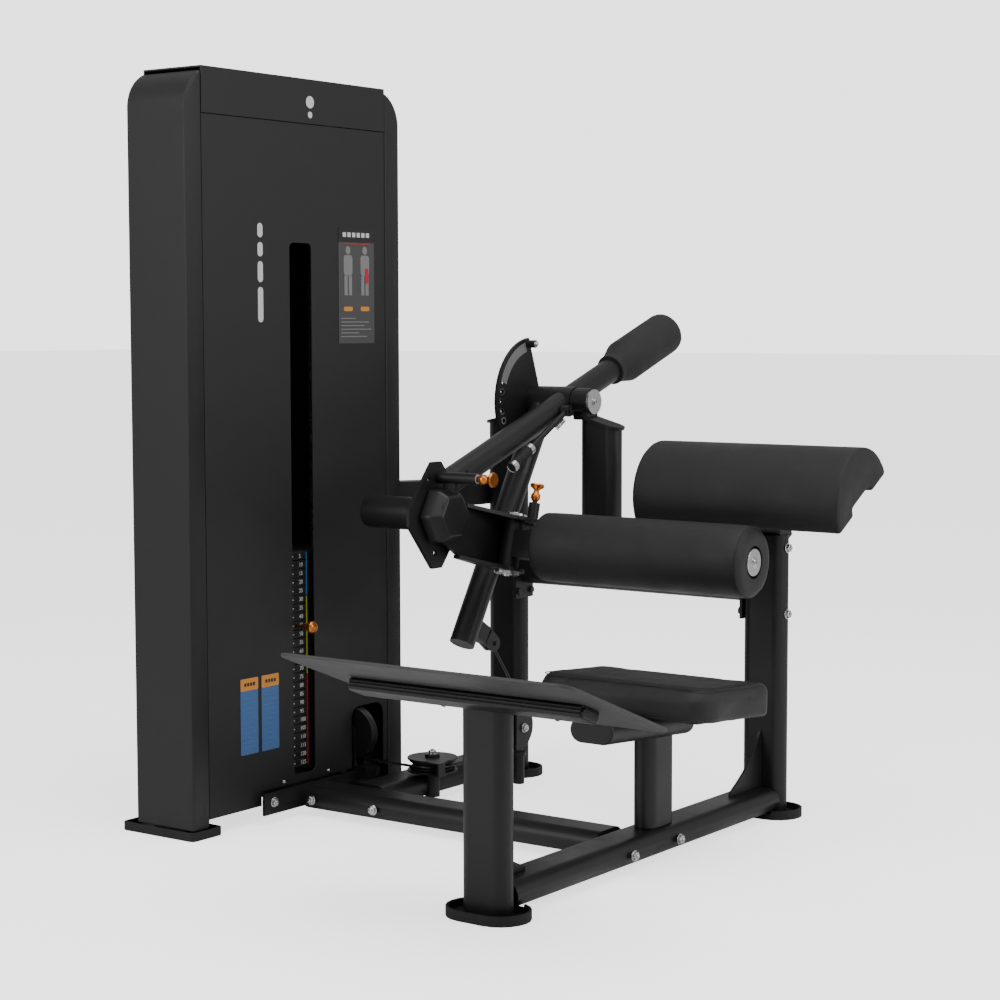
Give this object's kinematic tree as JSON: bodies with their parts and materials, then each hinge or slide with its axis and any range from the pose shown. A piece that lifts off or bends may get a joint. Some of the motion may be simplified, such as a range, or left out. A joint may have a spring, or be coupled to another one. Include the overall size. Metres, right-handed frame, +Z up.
{
  "type": "hip thrust machine",
  "caption": "Seated hip thrust machine: weight stack tower, floor frame, tilted foot plate, seat, half-round back pad and a counterweighted lifting arm with a padded roller.",
  "frame": {"origin": "on the floor, at the middle of the bounding box", "axes": "+Z up; the user sits facing -X; the weight tower stands at +Y, on the user's right"},
  "size_m": [1.728, 1.3537, 1.589],
  "materials": {
    "powder_coat": "satin powder coat",
    "panel_black": "smooth matt paint on sheet steel",
    "rubber": "matt",
    "leatherette": "fine-grained synthetic leather",
    "bright_steel": "bright plated steel",
    "stack_iron": "black paint",
    "anodised_orange": "orange anodised",
    "light_grey": "textured black sheet",
    "cable_black": "black nylon"
  },
  "bodies": {
    "base": {"back_pad": "leatherette", "back_post": "powder_coat", "base_rail_cross": "powder_coat", "base_rail_long": "powder_coat", "base_rail_rear": "powder_coat", "bridge_beam": "powder_coat", "cable_lever_end": "cable_black", "cable_run": "cable_black", "cable_stack_end": "cable_black", "floor_pulley_housing": "powder_coat", "foot_back": "rubber", "foot_front": "rubber", "foot_pivot": "rubber", "foot_plate": "light_grey", "foot_rail": "powder_coat", "front_post": "powder_coat", "guide_rods": "bright_steel", "low_pulley_fork": "powder_coat", "pivot_axle": "bright_steel", "pivot_post": "powder_coat", "pivot_stub_post": "powder_coat", "post_pulley_bracket": "powder_coat", "resting_plates": "stack_iron", "seat_pad": "leatherette", "seat_post": "powder_coat", "seat_tube": "powder_coat", "tower_back_panel": "panel_black", "tower_cover_left": "panel_black", "tower_cover_right": "panel_black", "tower_foot_left": "rubber", "tower_foot_right": "rubber", "tower_frame": "powder_coat", "tower_front_panel": "panel_black", "tower_header": "panel_black", "tower_link_beam": "powder_coat"},
    "stack": {"lifted_plates": "stack_iron", "head_plate": "stack_iron", "selector_rod": "bright_steel"},
    "stack_pin": {"selector_pin": "anodised_orange"},
    "lever": {"lever_arm": "powder_coat", "cable_clevis": "powder_coat", "lock_sector": "powder_coat"},
    "arm": {"main_arm": "powder_coat", "counterweight": "powder_coat", "end_tube": "powder_coat"},
    "arm_release": {"release_lever": "powder_coat", "release_grip": "bright_steel"},
    "bracket": {"carriage": "powder_coat", "swing_pin": "bright_steel"},
    "bracket_pin": {"lock_pull_pin": "anodised_orange"},
    "roller_carrier": {"roller_arm": "powder_coat", "roller_end_cap": "bright_steel"},
    "carrier_pin": {"swing_pull_pin": "anodised_orange"},
    "roller": {"roller": "leatherette"},
    "low_wheel": {"low_pulley": "cable_black"},
    "floor_wheel": {"floor_pulley": "cable_black"},
    "post_wheel": {"post_pulley": "cable_black"},
    "top_wheel_left": {"top_pulley_left": "cable_black"},
    "top_wheel_right": {"top_pulley_right": "cable_black"}
  },
  "joints": [
    {"name": "stack_lift", "type": "slide", "parent": "base", "child": "stack", "axis": [0, 0, 1], "range_m": [0, 0.445], "deforming": ["cable_stack_end"]},
    {"name": "stack_pin_pull", "type": "slide", "parent": "stack", "child": "stack_pin", "axis": [0, -1, 0], "range_m": [0, 0.058]},
    {"name": "lever_pivot", "type": "hinge", "parent": "base", "child": "lever", "pos_m": [0.415, 0.257, 0.886], "axis": [0, 1, 0], "range_deg": [0, 45], "deforming": ["cable_lever_end"]},
    {"name": "arm_adjust", "type": "hinge", "parent": "lever", "child": "arm", "pos_m": [0.415, 0.1965, 0.886], "axis": [0, 1, 0], "range_deg": [0, 50]},
    {"name": "arm_release_squeeze", "type": "hinge", "parent": "arm", "child": "arm_release", "pos_m": [0.359, 0.156, 0.866], "axis": [0, 1, 0], "range_deg": [0, 6]},
    {"name": "bracket_tilt", "type": "hinge", "parent": "arm", "child": "bracket", "pos_m": [-0.117, 0.16, 0.662], "axis": [0, 1, 0], "range_deg": [-20, 25]},
    {"name": "bracket_pin_pull", "type": "slide", "parent": "bracket", "child": "bracket_pin", "axis": [0, -1, 0], "range_m": [0, 0.012], "stiffness_N_per_m": 400, "springref_m": -0.01},
    {"name": "roller_swing", "type": "hinge", "parent": "bracket", "child": "roller_carrier", "pos_m": [0.081, 0.114, 0.587], "axis": [0.2588, 0, 0.9659], "range_deg": [-30, 0]},
    {"name": "carrier_pin_pull", "type": "slide", "parent": "bracket", "child": "carrier_pin", "axis": [0.2588, 0, 0.9659], "range_m": [0, 0.012], "stiffness_N_per_m": 400, "springref_m": -0.01},
    {"name": "roller_spin", "type": "hinge", "parent": "roller_carrier", "child": "roller", "pos_m": [0.081, 0.114, 0.587], "axis": [0.0283, -0.9996, -0.0076], "continuous": true},
    {"name": "low_wheel_spin", "type": "hinge", "parent": "base", "child": "low_wheel", "pos_m": [-0.002, 0.4892, 0.1453], "axis": [1, 0, 0], "range_deg": [-440, 0]},
    {"name": "floor_wheel_spin", "type": "hinge", "parent": "base", "child": "floor_wheel", "pos_m": [0.0463, 0.3053, 0.087], "axis": [0, 0, 1], "range_deg": [0, 530]},
    {"name": "post_wheel_spin", "type": "hinge", "parent": "base", "child": "post_wheel", "pos_m": [0.305, 0.257, 0.1353], "axis": [0, 1, 0], "range_deg": [-530, 0]},
    {"name": "top_wheel_left_spin", "type": "hinge", "parent": "base", "child": "top_wheel_left", "pos_m": [-0.1492, 0.5475, 1.395], "axis": [0, 1, 0], "range_deg": [0, 650]},
    {"name": "top_wheel_right_spin", "type": "hinge", "parent": "base", "child": "top_wheel_right", "pos_m": [-0.0413, 0.5475, 1.395], "axis": [0, 1, 0], "range_deg": [0, 650]}
  ],
  "couplings": [
    {"joint": "stack_lift", "follows": "lever_pivot", "m_per_rad": 0.565},
    {"joint": "low_wheel_spin", "follows": "lever_pivot", "ratio": -9.6913},
    {"joint": "floor_wheel_spin", "follows": "lever_pivot", "ratio": 11.698},
    {"joint": "post_wheel_spin", "follows": "lever_pivot", "ratio": -11.698},
    {"joint": "top_wheel_left_spin", "follows": "lever_pivot", "ratio": 14.377},
    {"joint": "top_wheel_right_spin", "follows": "lever_pivot", "ratio": 14.377}
  ]
}
